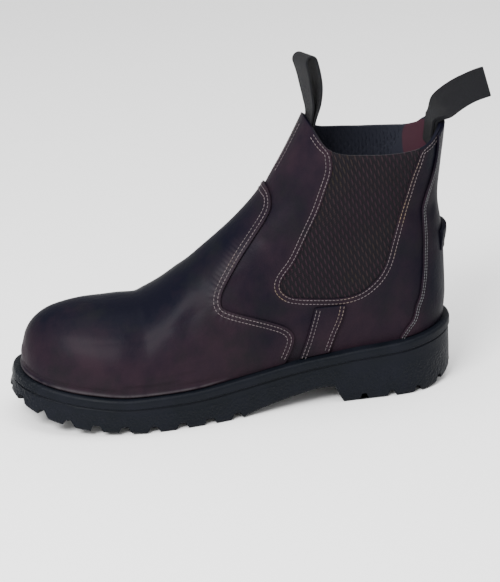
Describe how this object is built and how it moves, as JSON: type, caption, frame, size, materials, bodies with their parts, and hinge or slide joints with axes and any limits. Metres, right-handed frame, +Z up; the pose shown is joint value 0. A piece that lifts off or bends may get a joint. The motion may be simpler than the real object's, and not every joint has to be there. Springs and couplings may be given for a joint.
{
  "type": "safety boot",
  "caption": "Ankle-high pull-on safety boot in dark oiled leather with elastic side gores, webbing pull loops, a bulbous toe and a lugged rubber sole; left foot.",
  "frame": {"origin": "on the floor under the middle of the heel, where the heel's tread is flat", "axes": "+X along the foot towards the toe, +Y to the outer side of the left foot, +Z up"},
  "size_m": [0.3306, 0.1036, 0.2327],
  "materials": {
    "sole_rubber": "matt moulded rubber with a fine grain",
    "leather": "dark red-brown oiled leather, soft sheen",
    "elastic": "ribbed elastic",
    "webbing": "woven black tape",
    "lining": "dark cloth lining and insole cover"
  },
  "bodies": {
    "root": {"outsole": "sole_rubber", "insole": "lining", "upper": "leather", "vamp": "leather", "heel_counter": "leather", "side_strap_outer": "leather", "side_strap_inner": "leather", "gore_outer": "elastic", "gore_inner": "elastic", "spur_rest": "leather", "pull_loop_front": "webbing", "pull_loop_rear": "webbing"}
  },
  "joints": []
}
